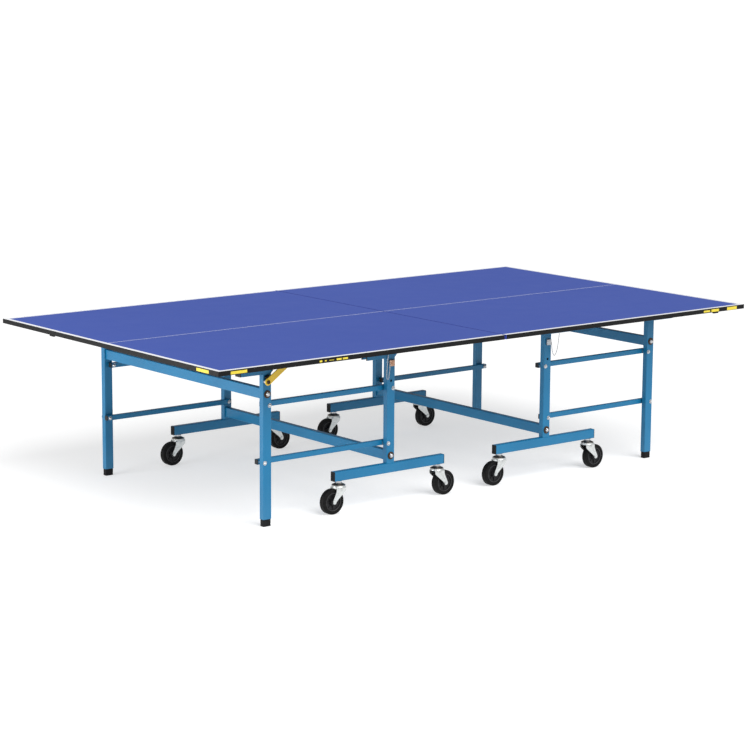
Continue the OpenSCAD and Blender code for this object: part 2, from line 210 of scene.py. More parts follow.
def lathe(profile, steps=40, closed=False):
    """Turns a profile of (radius, height) points about Z."""
    bm = shape()
    angles = [2 * math.pi * k / steps for k in range(steps)]
    rings = []
    for radius, height in profile:
        ring = [(radius * math.cos(t), radius * math.sin(t), height) for t in angles]
        if radius < 1e-7:
            ring = [(0, 0, height)]
        rings.append([bm.verts.new(corner) for corner in ring])
    skin(bm, rings, closed)
    return bm


def rod(radius, length, steps=40):
    """A plain cylinder along Z from 0."""
    return lathe([(0, 0), (radius, 0), (radius, length), (0, length)], steps)


def soften(bm, edges, radius, steps):
    bmesh.ops.bevel(
        bm, geom=edges, offset=radius, segments=steps, profile=0.5, affect="EDGES"
    )


def rounded_box(size, radius, steps=3):
    """A box about the origin with all its edges rounded."""
    bm = shape()
    bmesh.ops.create_cube(bm, size=1)
    bmesh.ops.scale(bm, vec=size, verts=bm.verts)
    soften(bm, bm.edges[:], radius, steps)
    return bm


def outline_ring(size_x, size_y, radius, steps=5):
    """Points round a rectangle with round corners, about the origin."""
    points = []
    for k, (sx, sy) in enumerate(((1, 1), (-1, 1), (-1, -1), (1, -1))):
        for i in range(steps + 1):
            angle = math.radians(90 * k + 90 * i / steps)
            x = sx * (size_x / 2 - radius) + radius * math.cos(angle)
            y = sy * (size_y / 2 - radius) + radius * math.sin(angle)
            points.append((x, y))
    return points


def loft(sections, closed=False):
    """A solid through sections of (height, size_x, size_y, corner radius) along Z.

    closed joins the last section to the first, for a tube or a frame.
    """
    bm = shape()
    rings = []
    for height, size_x, size_y, radius in sections:
        ring = outline_ring(size_x, size_y, radius)
        rings.append([bm.verts.new((x, y, height)) for x, y in ring])
    skin(bm, rings, closed, ends=not closed)
    return bm


def tube(size_x, size_y, length, radius=TUBE_R):
    """A rectangular tube along Z from 0, with round corners and softened ends."""
    soft = 0.4 * MM
    outside = (size_x, size_y, radius)
    end = (size_x - 2 * soft, size_y - 2 * soft, radius - soft)
    bore = (size_x - 2 * WALL, size_y - 2 * WALL, 0.8 * MM)
    return loft([
        (0, *end), (soft, *outside), (length - soft, *outside), (length, *end),
        (length, *bore), (0, *bore),
    ], closed=True)


def slab(outline, thickness, soft):
    """A plate from an outline in XZ, from y = 0 to its thickness, with softened edges."""
    bm = shape()
    front = [bm.verts.new((x, 0, z)) for x, z in outline]
    back = [bm.verts.new((x, thickness, z)) for x, z in outline]
    bm.faces.new(front)
    bm.faces.new(back)
    count = len(outline)
    for k in range(count):
        n = (k + 1) % count
        bm.faces.new([front[k], front[n], back[n], back[k]])
    rims = [e for e in bm.edges if abs(e.verts[0].co.y - e.verts[1].co.y) < 1e-9]
    bmesh.ops.recalc_face_normals(bm, faces=bm.faces[:])
    soften(bm, rims, soft, 2)
    return bm


def sweep(points, radius, sides=8, closed=False):
    """A round wire along points that lie in XZ."""
    bm = shape()
    count = len(points)
    angles = [2 * math.pi * k / sides for k in range(sides)]
    rings = []
    for i, point in enumerate(points):
        before = points[i - 1] if closed or i > 0 else point
        after = points[(i + 1) % count] if closed or i < count - 1 else point
        along = (after - before).normalized()
        across = along.cross(Vector((0, 1, 0))).normalized()
        third = along.cross(across)
        ring = [point + radius * (math.cos(t) * across + math.sin(t) * third) for t in angles]
        rings.append([bm.verts.new(corner) for corner in ring])
    skin(bm, rings, closed, ends=not closed)
    return bm


def wire_ring(radius, wire):
    """A closed ring of round wire about the origin, flat in XZ."""
    angles = [2 * math.pi * k / 20 for k in range(20)]
    circle = [Vector((radius * math.cos(t), 0, radius * math.sin(t))) for t in angles]
    return sweep(circle, wire, closed=True)


def along_y(x, y, z, side=1):
    """Places a shape drawn along +Z so that it points outwards along Y, on one side of the half."""
    quarter = math.radians(-90 * side)
    return Matrix.Translation((x, side * y, z)) @ Matrix.Rotation(quarter, 4, "X")


def at(x, y, z):
    return Matrix.Translation((x, y, z))


UP_TO_X = Matrix.Rotation(math.radians(90), 4, "Y")
UP_TO_Y = Matrix.Rotation(math.radians(-90), 4, "X")
FLIP = Matrix.Rotation(math.pi, 4, "X")


def piece(stem, tag, bm, materials, body, replaced=None):
    """Makes the finished object with its materials, rides it on its body and hides the CAD node it
    replaces.

    The piece, its body and its node all end with the tag, such as the half's letter.
    """
    name = f"{stem}_{tag}"
    bmesh.ops.recalc_face_normals(bm, faces=bm.faces[:])
    mesh = bpy.data.meshes.new(name)
    bm.to_mesh(mesh)
    bm.free()
    for material in materials:
        mesh.materials.append(material)
    mesh.shade_smooth()
    mesh.set_sharp_from_angle(angle=CREASE)
    obj = bpy.data.objects.new(name, mesh)
    bpy.context.scene.collection.objects.link(obj)
    even = obj.modifiers.new("even_shading", "WEIGHTED_NORMAL")
    even.keep_sharp = True
    if body:
        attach(obj, f"{body}_{tag}")
    if replaced:
        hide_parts(f"{replaced}_{tag}")
    return obj


def both_sides(bm, half, part, spot, turned=Matrix()):
    """Puts the bmesh part at a spot of the half and, mirrored across its middle, at -Y."""
    x, y, z = spot
    for side in SIDES:
        put(bm, part.copy(), TURNS[half] @ at(x, side * y, z) @ turned)
    part.free()


def drill(obj, cutters):
    """Cuts closed shapes, given as (bmesh, place), out of a finished piece."""
    bm = shape()
    for part, place in cutters:
        put(bm, part, place)
    bmesh.ops.recalc_face_normals(bm, faces=bm.faces[:])
    mesh = bpy.data.meshes.new("cutter")
    bm.to_mesh(mesh)
    bm.free()
    cutter = bpy.data.objects.new("cutter", mesh)
    bpy.context.scene.collection.objects.link(cutter)
    cut = obj.modifiers.new("drill", "BOOLEAN")
    cut.object = cutter
    cut.operation = "DIFFERENCE"
    cut.solver = "EXACT"
    obj.modifiers.move(len(obj.modifiers) - 1, 0)
    bpy.context.view_layer.update()
    final = obj.evaluated_get(bpy.context.evaluated_depsgraph_get())
    drilled = bpy.data.meshes.new_from_object(final)
    obj.modifiers.remove(cut)
    obj.data = drilled
    bpy.data.objects.remove(cutter)


# ---- Materials ----


def srgb(red, green, blue):
    """A display colour, 0 to 255, as linear values with alpha."""
    linear = []
    for value in (red, green, blue):
        c = value / 255
        linear.append(c / 12.92 if c <= 0.04045 else ((c + 0.055) / 1.055) ** 2.4)
    return (*linear, 1)


class Paint:
    """A material's node tree, with short calls for the nodes that the materials share."""

    def __init__(self, name, roughness, metallic=0.0, coat=0.0, shine=0.5):
        self.material = bpy.data.materials.new(name)
        self.material.use_nodes = True
        self.tree = self.material.node_tree
        self.shader = self.tree.nodes["Principled BSDF"]
        self.shader.inputs["Roughness"].default_value = roughness
        self.shader.inputs["Metallic"].default_value = metallic
        self.shader.inputs["Coat Weight"].default_value = coat
        self.shader.inputs["Specular IOR Level"].default_value = shine
        self.here = self.node("TexCoord", {}).outputs["Object"]

    def feed(self, socket, value):
        """Gives a socket a plain value, or another node's output."""
        if isinstance(value, bpy.types.NodeSocket):
            self.tree.links.new(value, socket)
        else:
            socket.default_value = value

    def node(self, kind, inputs):
        node = self.tree.nodes.new(f"ShaderNode{kind}")
        for name, value in inputs.items():
            self.feed(node.inputs[name], value)
        return node

    def noise(self, scale, detail, stretch=None):
        where = self.here
        if stretch:
            where = self.node("Mapping", {"Vector": where, "Scale": stretch}).outputs["Vector"]
        inputs = {"Vector": where, "Scale": scale, "Detail": detail}
        return self.node("TexNoise", inputs).outputs["Fac"]

    def cells(self, scale):
        return self.node("TexVoronoi", {"Vector": self.here, "Scale": scale}).outputs["Color"]

    def remap(self, value, start, stop, new_start=0.0, new_stop=1.0):
        return self.node("MapRange", {
            "Value": value, "From Min": start, "From Max": stop,
            "To Min": new_start, "To Max": new_stop,
        }).outputs["Result"]

    def math(self, operation, first, second=0.0):
        node = self.tree.nodes.new("ShaderNodeMath")
        node.operation = operation
        self.feed(node.inputs[0], first)
        self.feed(node.inputs[1], second)
        return node.outputs["Value"]

    def axes(self):
        return self.node("SeparateXYZ", {"Vector": self.here}).outputs

    def mix(self, factor, first, second):
        node = self.tree.nodes.new("ShaderNodeMix")
        node.data_type = "RGBA"
        self.feed(node.inputs["Factor"], factor)
        for socket, value in zip([s for s in node.inputs if s.type == "RGBA"], (first, second)):
            self.feed(socket, value)
        return next(s for s in node.outputs if s.type == "RGBA")

    def drift(self, dark, light, scale, detail=3):
        """A colour that wanders between two close tones."""
        return self.mix(self.remap(self.noise(scale, detail), 0.3, 0.7), dark, light)

    def colour(self, source):
        self.feed(self.shader.inputs["Base Color"], source)

    def uneven_gloss(self, pattern, smooth, rough):
        roughness = self.remap(pattern, 0.3, 0.7, smooth, rough)
        self.feed(self.shader.inputs["Roughness"], roughness)

    def bump(self, scale, detail, strength, distance):
        inputs = {"Height": self.noise(scale, detail), "Strength": strength, "Distance": distance}
        normal = self.node("Bump", inputs).outputs["Normal"]
        self.feed(self.shader.inputs["Normal"], normal)


def board_lacquer():
    """Blue-violet lacquer with white side, end and centre lines, and a grey backing below."""
    line = 20 * MM
    centre_line = 3 * MM
    paint = Paint("board_lacquer", 0.55, shine=0.28)
    x, y, z = paint.axes()
    far_x = paint.math("ABSOLUTE", x)
    far_y = paint.math("ABSOLUTE", y)
    end = paint.math("GREATER_THAN", far_x, board_end - line)
    side = paint.math("GREATER_THAN", far_y, half_width - line)
    centre = paint.math("LESS_THAN", far_y, centre_line / 2)
    lines = paint.math("MAXIMUM", paint.math("MAXIMUM", end, side), centre)
    lacquer = paint.drift(srgb(60, 85, 172), srgb(63, 88, 175), 1.1, 2)
    specks = paint.remap(paint.noise(420, 1), 0.72, 0.8)
    lacquer = paint.mix(specks, lacquer, srgb(69, 92, 181))
    backing = paint.drift(srgb(101, 104, 109), srgb(107, 110, 115), 14, 5)
    upper = paint.math("GREATER_THAN", z, (top_z + under_z) / 2)
    lines = paint.math("MULTIPLY", lines, upper)
    lacquer = paint.mix(upper, backing, lacquer)
    paint.colour(paint.mix(lines, lacquer, srgb(246, 247, 250)))
    paint.uneven_gloss(paint.noise(9, 4), 0.54, 0.58)
    paint.bump(900, 2, 0.12, 0.0002)
    return paint.material


def edge_plastic():
    """Black band; at the net edge it is painted over with the board's colour."""
    paint = Paint("edge_plastic", 0.5, shine=0.18)
    black = paint.drift(srgb(9, 9, 10), srgb(17, 17, 18), 30)
    far_x = paint.math("ABSOLUTE", paint.axes()["X"])
    painted = paint.math("LESS_THAN", far_x, net_edge + 3 * MM)
    paint.colour(paint.mix(painted, black, srgb(56, 73, 160)))
    paint.uneven_gloss(paint.noise(60, 3), 0.42, 0.6)
    paint.bump(1400, 2, 0.25, 0.0002)
    return paint.material


def powder_coat():
    """Satin blue powder coat on steel: fine orange peel, slow tone drift and dust low down."""
    paint = Paint("powder_coat", 0.38, coat=0.03, shine=0.42)
    paint.shader.inputs["Coat Roughness"].default_value = 0.25
    tone = paint.drift(srgb(0, 100, 143), srgb(5, 108, 152), 5)
    fleck = paint.remap(paint.noise(700, 1), 0.66, 0.78)
    tone = paint.mix(fleck, tone, srgb(30, 130, 172))
    low_down = paint.remap(paint.axes()["Z"], 0.16, 0.02, 0, 0.25)
    dust = paint.math("MULTIPLY", low_down, paint.noise(26, 4))
    paint.colour(paint.mix(dust, tone, srgb(96, 140, 170)))
    paint.uneven_gloss(paint.noise(14, 4), 0.34, 0.48)
    paint.bump(520, 2, 0.2, 0.0003)
    return paint.material


def plated_steel(name, dark, light, roughness):
    """Zinc plate with faint grain and spangle."""
    paint = Paint(name, roughness, metallic=1)
    spangle = paint.remap(paint.cells(180), 0, 1)
    grain = paint.noise(60, 5, stretch=(1, 1, 6))
    tone = paint.mix(paint.remap(grain, 0.3, 0.7), dark, light)
    paint.colour(paint.mix(paint.math("MULTIPLY", spangle, 0.35), tone, light))
    paint.uneven_gloss(grain, roughness - 0.08, roughness + 0.1)
    paint.bump(900, 2, 0.1, 0.0002)
    return paint.material


def moulded_plastic(name, dark, light, roughness, shine):
    paint = Paint(name, roughness, shine=shine)
    paint.colour(paint.drift(dark, light, 45))
    paint.uneven_gloss(paint.noise(90, 3), roughness - 0.06, roughness + 0.08)
    paint.bump(1600, 2, 0.3, 0.0002)
    return paint.material


def tyre_rubber():
    """Black rubber with a little dust."""
    paint = Paint("tyre_rubber", 0.62, shine=0.16)
    dust = paint.math("MULTIPLY", paint.noise(70, 5), 0.03)
    paint.colour(paint.mix(dust, srgb(5, 5, 6), srgb(80, 78, 75)))
    paint.uneven_gloss(paint.noise(120, 3), 0.5, 0.74)
    paint.bump(1100, 3, 0.35, 0.0003)
    return paint.material


def yellow_paint():
    """Yellow enamel with tiny worn spots that show the steel below."""
    paint = Paint("yellow_paint", 0.38, coat=0.2)
    tone = paint.drift(srgb(224, 184, 30), srgb(236, 198, 48), 18)
    wear = paint.remap(paint.noise(160, 6), 0.68, 0.72)
    paint.colour(paint.mix(wear, tone, srgb(120, 108, 70)))
    paint.bump(600, 2, 0.15, 0.0002)
    return paint.material


def passivated_steel():
    """Yellow-brown passivated steel with a cloudy sheen."""
    paint = Paint("passivated_steel", 0.42, metallic=0.75)
    paint.colour(paint.drift(srgb(166, 122, 98), srgb(206, 170, 146), 90, 4))
    paint.bump(500, 3, 0.2, 0.0002)
    return paint.material


def label_film():
    """Blank yellow label film."""
    paint = Paint("label_film", 0.35)
    paint.colour(paint.drift(srgb(206, 186, 44), srgb(226, 204, 62), 120))
    paint.bump(300, 2, 0.1, 0.0002)
    return paint.material


LACQUER = board_lacquer()
BAND = edge_plastic()
BLUE = powder_coat()
ZINC = plated_steel("bright_zinc", srgb(168, 170, 174), srgb(214, 216, 218), 0.3)
PRESSED = plated_steel("pressed_zinc", srgb(200, 203, 202), srgb(230, 233, 232), 0.34)
# Darker brownish steel for the dome's top under the caster beam: partly the race's own finish,
# partly painted shade
RACE_AND_PAINTED_SHADE = plated_steel("race_steel", srgb(104, 98, 92), srgb(160, 155, 148), 0.38)
TUBE_ZINC = plated_steel("inner_tube_zinc", srgb(150, 153, 158), srgb(190, 193, 197), 0.34)
DARK_STEEL = plated_steel("dark_washer_steel", srgb(58, 46, 40), srgb(92, 74, 62), 0.45)
CAP = moulded_plastic("cap_plastic", srgb(10, 11, 13), srgb(22, 23, 26), 0.5, 0.3)
HUB = moulded_plastic("hub_plastic", srgb(17, 17, 19), srgb(27, 27, 30), 0.42, 0.3)
RUBBER = moulded_plastic("foot_rubber", srgb(10, 10, 12), srgb(22, 22, 24), 0.66, 0.2)
# Lighter grey than the hub for its raised beads: a painted ring highlight
BEAD_PAINTED_HIGHLIGHT = moulded_plastic("hub_bead", srgb(48, 48, 50), srgb(62, 62, 64), 0.4, 0.4)
TYRE = tyre_rubber()
YELLOW = yellow_paint()
PIN_METALS = {"a": passivated_steel(), "b": TUBE_ZINC}
LABEL = label_film()

NODE_LOOKS = {"board": LACQUER, "lift_tubes": TUBE_ZINC, "leg_tubes": TUBE_ZINC}


def finish_nodes():
    """The boards and the inner tubes keep their CAD meshes."""
    for half in TURNS:
        for stem, material in NODE_LOOKS.items():
            mesh = frame["nodes"][f"{stem}_{half}"].data
            mesh.materials.clear()
            mesh.materials.append(material)
            mesh.shade_smooth()
            mesh.set_sharp_from_angle(angle=CREASE)


# ---- Frame ----


def edge_band(half):
    """Plastic band with a rounded rim round the board, and the two bumpers under it."""
    bottom = low("edge_band_b")
    size = high("edge_band_b") - bottom
    band, soft, corner = 2 * MM, 1 * MM, 4 * MM
    sections = []
    for height, inset in (
        (under_z, soft), (under_z + 0.3 * soft, 0.3 * soft), (under_z + soft, 0),
        (top_z - soft, 0), (top_z - 0.3 * soft, 0.3 * soft), (top_z, soft),
        (top_z, band), (under_z, band),
    ):
        sections.append((height, size.x - 2 * inset, size.y - 2 * inset, corner - inset))
    bm = shape()
    turn = TURNS[half]
    put(bm, loft(sections, closed=True), turn @ at(middle("edge_band_b").x, 0, 0))
    wide, long, inset = 10 * MM, 30 * MM, 7 * MM
    bumper_h = under_z - bottom.z
    for x, y, size_x, size_y in (
        (board_end - inset, -385 * MM, wide, long),
        (1198 * MM, inset - half_width, long, wide),
    ):
        bumper = rounded_box((size_x, size_y, bumper_h), 2 * MM)
        put(bm, bumper, turn @ at(x, y, (bottom.z + under_z) / 2))
    piece("rim_band", half, bm, [BAND], "top", "edge_band")


def uprights(half, stem, name, body):
    """The two posts or the two outer legs of a half."""
    bottom = low(f"{stem}_b").z
    length = high(f"{stem}_b").z - bottom
    bm = shape()
    both_sides(bm, half, tube(tube_x, tube_y, length), (middle(f"{stem}_b").x, side_y, bottom))
    return piece(name, half, bm, [BLUE], body, stem)


def pin_holes(half, posts):
    """The height pin's hole through each post, and the lower setting's in its outer wall."""
    beyond = 5 * MM
    cutters = []
    for side in SIDES:
        for z, start in ((pin_z, in_face - beyond), (pin_z - lower_hole_drop, side_y)):
            drill_bit = rod(5.2 * MM, out_face + beyond - start)
            cutters.append((drill_bit, TURNS[half] @ along_y(post_x, start, z, side)))
    drill(posts, cutters)


def cross_beam(half, stem, body):
    """A beam across the half, from tube to tube."""
    centre = middle(f"{stem}_b")
    start = low(f"{stem}_b")
    size = high(f"{stem}_b") - start
    bm = shape()
    place = TURNS[half] @ at(centre.x, start.y, centre.z) @ UP_TO_Y
    put(bm, tube(size.x, size.z, size.y), place)
    piece(f"{stem}_tube", half, bm, [BLUE], body, stem)


def bars_along(half, stem, size_y, y, body, radius=TUBE_R):
    """Two bars along X, one on each side: the caster beams or a pair of links."""
    start = low(f"{stem}_b")
    size = high(f"{stem}_b") - start
    bm = shape()
    bar = tube(size.z, size_y, size.x, radius)
    both_sides(bm, half, bar, (start.x, y, middle(f"{stem}_b").z), UP_TO_X)
    piece(f"{stem}_bars", half, bm, [BLUE], body, stem)


def top_rails(half):
    """Two long rails and three cross rails under the board; the middle one is shallower."""
    turn = TURNS[half]
    middle_h = 15 * MM
    inner_y = rail_high.y - rail_w
    bm = shape()
    rail = tube(rail_h, rail_w, rail_high.x - rail_low.x)
    both_sides(bm, half, rail, (rail_low.x, rail_y, under_z - rail_h / 2), UP_TO_X)
    for x, height in (
        (rail_low.x + rail_w, rail_h),
        ((post_x + leg_x) / 2 + rail_w / 2, middle_h),
        (rail_high.x - rail_w, rail_h),
    ):
        place = turn @ at(x, -inner_y, under_z - height / 2) @ UP_TO_Y
        put(bm, tube(rail_w, height, 2 * inner_y), place)
    piece("top_rail_tubes", half, bm, [BLUE], "top", "top_rails")


def bracket_bottom(side):
    return pivot_z - (deep_drop if side > 0 else shallow_drop)


def brackets(half):
    """Pivot channels: a flange against the board and two plates astride each tube."""
    turn = TURNS[half]
    cut, corner, sunk, flange_w = 12 * MM, 3 * MM, 2 * MM, 54 * MM
    bm = shape()
    for x in (post_x, leg_x):
        for side in SIDES:
            bottom = bracket_bottom(side)
            flange = rounded_box((bracket_in + bracket_out, flange_w, plate_t), 0.8 * MM, 2)
            centre_x = x + (bracket_out - bracket_in) / 2
            put(bm, flange, turn @ at(centre_x, side * side_y, under_z - plate_t / 2))
            outline = [
                (-bracket_in, bottom + cut), (-bracket_in + cut, bottom),
                (bracket_out - corner, bottom), (bracket_out, bottom + corner),
                (bracket_out, under_z - sunk), (-bracket_in, under_z - sunk),
            ]
            for y in (in_face - plate_gap - plate_t, out_face + plate_gap):
                start = side * y if side > 0 else side * y - plate_t
                put(bm, slab(outline, plate_t, 0.7 * MM), turn @ at(x, start, 0))
    piece("pivot_brackets", half, bm, [BLUE], "top", "brackets")


def stay_lever(half):
    """Flat bar with round ends, rising towards the net."""
    outline = []
    for centre_x, radius, start in ((0, lever_eye_r, -90), (-lever_reach, lever_tip_r, 90)):
        outline += arc(centre_x, 0, radius, start, start + 180, 16)
    bm = shape()
    place = at(lever_pivot.x, lever_y0, lever_pivot.z) @ Matrix.Rotation(lever_rise, 4, "Y")
    put(bm, slab(outline, lever_y1 - lever_y0, 1.1 * MM), TURNS[half] @ place)
    piece("stay_lever_bar", half, bm, [YELLOW], "lever", "stay_lever")


def height_pin(half, side):
    """Square head with a raised rim, and a round shaft with a tapered end."""
    turn = TURNS[half]
    head = (22 * MM, 10 * MM, 25 * MM)
    past_wall = 3 * MM
    bm = shape()
    place = turn @ at(post_x, side * (out_face + 5.5 * MM), pin_z)
    put(bm, rounded_box(head, 2.2 * MM, 4), place)
    boss = [(0, 0), (7.5 * MM, 0), (7.0 * MM, 0.6 * MM), (0, 0.6 * MM)]
    put(bm, lathe(boss), turn @ along_y(post_x, out_face + 10.4 * MM, pin_z, side))
    length = out_face + past_wall - (in_face - past_wall)
    shaft = [(0, 0), (3.4 * MM, 0), (5 * MM, 2.4 * MM), (5 * MM, length), (0, length)]
    put(bm, lathe(shaft), turn @ along_y(post_x, in_face - past_wall, pin_z, side))
    tag = f"{end_name(half, side)}_{half}"
    piece("pull_pin", tag, bm, [PIN_METALS[half]], "pin", "height_pin")


# ---- Hardware shapes, drawn along +Z from 0 ----


def washer(radius, height):
    edge = 0.25 * height
    rim = [(radius, 0), (radius, height - edge), (radius - edge, height)]
    return lathe([(0, 0), *rim, (0, height)])


def hex_nut(radius, height):
    profile = [(0, 0), (radius, 0), (radius, 0.82 * height), (0.88 * radius, height), (0, height)]
    return lathe(profile, steps=6)


def dome_nut(target, place, radius, height):
    """A cap nut: a hexagon with a flange below and a dome on top."""
    hexagon = 0.42 * height
    put(target, hex_nut(radius, hexagon), place)
    dome = [(0.86 * radius, 0.9 * hexagon)]
    for i in range(8):
        angle = math.radians(90 * i / 8)
        rise = (height - hexagon) * math.sin(angle)
        dome.append((0.82 * radius * math.cos(angle), hexagon + rise))
    put(target, lathe([*dome, (0, height)]), place)


def socket_screw(target, place, radius, height, slot=0):
    """A button head with a hexagon recess, drawn as a ring round a sunk hexagon."""
    recess = 0.42 * radius
    profile = [(recess, 0.55 * height), (recess, height), (0.72 * radius, 0.94 * height)]
    profile += arc(0.72 * radius, 0.5 * height, 0.28 * radius, 80, 0, 5)
    profile += [(radius, 0), (0, 0), (0, 0.55 * height)]
    put(target, lathe(profile, steps=36, closed=True), place, slot)


# ---- Bolts of the carriage and legs ----


def beam_bolts(target, x, z, body_place):
    """Dark washer and bright cap nut on both outer faces."""
    washer_r = 15 * MM
    washer_t = 3 * MM
    for side in SIDES:
        put(target, washer(washer_r, washer_t), body_place @ along_y(x, out_face, z, side), 1)
        place = body_place @ along_y(x, out_face + washer_t, z, side)
        dome_nut(target, place, 9 * MM, 9 * MM)


def link_studs(target, x, body_place):
    """Collars, nuts and outer heads of the two link pivots on one tube."""
    play = 0.5 * MM
    outer_t = 1.2 * MM
    inner_t = 1 * MM
    for pivot_x, z in ((x - link_shift, upper_link_z), (x + link_shift, lower_link_z)):
        for side in SIDES:
            outer = body_place @ along_y(pivot_x, out_face, z, side)
            put(target, washer(8.5 * MM, outer_t), outer)
            dome_nut(target, outer @ at(0, 0, outer_t), 6.5 * MM, 6.8 * MM)
            collar = body_place @ along_y(pivot_x, link_out + play, z, side)
            put(target, rod(8 * MM, in_face - link_out - play), collar)
            shaft = body_place @ along_y(pivot_x, link_in - 1 * MM, z, side)
            put(target, rod(4 * MM, link_size + 2 * MM), shaft)
            inner = body_place @ along_y(pivot_x, link_in - play, z, side) @ FLIP
            put(target, washer(8 * MM, inner_t), inner)
            dome_nut(target, inner @ at(0, 0, inner_t), 7 * MM, 6.5 * MM)


def carriage_hardware(half):
    """Bolts and studs of the posts, and the casters' stems with their nuts."""
    turn = TURNS[half]
    bm = shape()
    beam_bolts(bm, post_x, lower_beam_z, turn)
    link_studs(bm, post_x, turn)
    foot, head = fork_top, beam_low.z
    stem = [
        (0, foot - 20 * MM), (6 * MM, foot - 20 * MM), (6 * MM, foot + 0.4 * MM),
        (13 * MM, foot + 0.4 * MM), (13.5 * MM, foot + 2 * MM), (11.5 * MM, foot + 3.4 * MM),
        (11.5 * MM, head - 2.5 * MM), (14 * MM, head - 2 * MM), (14 * MM, head), (0, head),
    ]
    for x in (swivel_in_x, swivel_out_x):
        both_sides(bm, half, lathe(stem), (x, side_y, 0))
        both_sides(bm, half, hex_nut(9 * MM, 6 * MM), (x, side_y, foot - 21 * MM))
    metals = [ZINC, DARK_STEEL]
    piece("carriage_bolts_and_stems", half, bm, metals, "carriage", "carriage_bolts")


def leg_hardware(half):
    """Bolts and studs of the outer legs, and the stay lever's shoulder screw."""
    turn = TURNS[half]
    bm = shape()
    beam_bolts(bm, leg_x, upper_beam_z, turn)
    link_studs(bm, leg_x, turn)
    x, z = lever_pivot.x, lever_pivot.z
    play = 0.3 * MM
    put(bm, rod(9 * MM, lever_y0 - out_face - play), turn @ along_y(x, out_face, z))
    put(bm, rod(5 * MM, 7 * MM), turn @ along_y(x, lever_y0 - 1 * MM, z))
    socket_screw(bm, turn @ along_y(x, lever_y1 + play, z), 7.5 * MM, 3.7 * MM, 1)
    metals = [ZINC, DARK_STEEL]
    piece("leg_bolts_and_lever_screw", half, bm, metals, "leg_frame", "leg_bolts")


def tilt_hardware(half):
    """Pivot bolts of the top: button heads on the outer plates, ends flush inside."""
    turn = TURNS[half]
    bm = shape()
    start = in_face - 3.8 * MM
    for x in (post_x, leg_x):
        for side in SIDES:
            socket_screw(bm, turn @ along_y(x, plate_out, pivot_z, side), 8.5 * MM, 5 * MM)
            put(bm, rod(5 * MM, plate_out - start), turn @ along_y(x, start, pivot_z, side))
    piece("tilt_pivot_bolts", half, bm, [ZINC], "top", "tilt_bolts")


# ---- Casters ----


def wheel_shape():
    """Tyre, hub rim, web with ribs and boss, about the axle along Z."""
    bm = shape()
    r, w = wheel_r, wheel_half
    shoulder = 3.4 * MM
    wall_r = r - shoulder - 1.5 * MM
    tread = [(0.72 * r, -w + 1.2 * MM), (0.75 * r, -w + 0.2 * MM), (wall_r, -w)]
    tread += arc(r - shoulder, -w + shoulder, shoulder, -90, 0, 5)
    tread += [(r, 0)]
    tread += arc(r - shoulder, w - shoulder, shoulder, 0, 90, 5)
    tread += [(wall_r, w), (0.75 * r, w - 0.2 * MM), (0.72 * r, w - 1.2 * MM)]
    put(bm, lathe(tread, steps=72, closed=True))
    # Share of the wheel's radius, and millimetres below its side, from the rim in to the bore
    hub = (
        (0.735, 1.4), (0.70, 1.0), (0.655, 2.2), (0.63, 6),
        (0.32, 7.5), (0.29, 2), (0.26, -2.6), (0.13, -2.6),
    )
    upper = [(share * r, w - depth * MM) for share, depth in hub]
    lower = [(radius, -z) for radius, z in reversed(upper)]
    put(bm, lathe(upper + lower, steps=72, closed=True), slot=1)
    # Raised beads round the hub in lighter grey plastic: the lighter tone is a painted ring
    # highlight
    for side in SIDES:
        z = side * (w - 1.6 * MM)
        crest = z + side * 1.2 * MM
        bead = [(0.665 * r, z), (0.68 * r, crest), (0.70 * r, crest), (0.71 * r, z)]
        put(bm, lathe(bead, steps=72, closed=True), slot=2)
    ribs = 8
    for k in range(ribs):
        rib = rounded_box((0.36 * r, 2.4 * MM, 2 * (w - 3.6 * MM)), 0.6 * MM, 2)
        put(bm, rib, Matrix.Rotation(2 * math.pi * k / ribs, 4, "Z") @ at(0.475 * r, 0, 0), 1)
    return bm


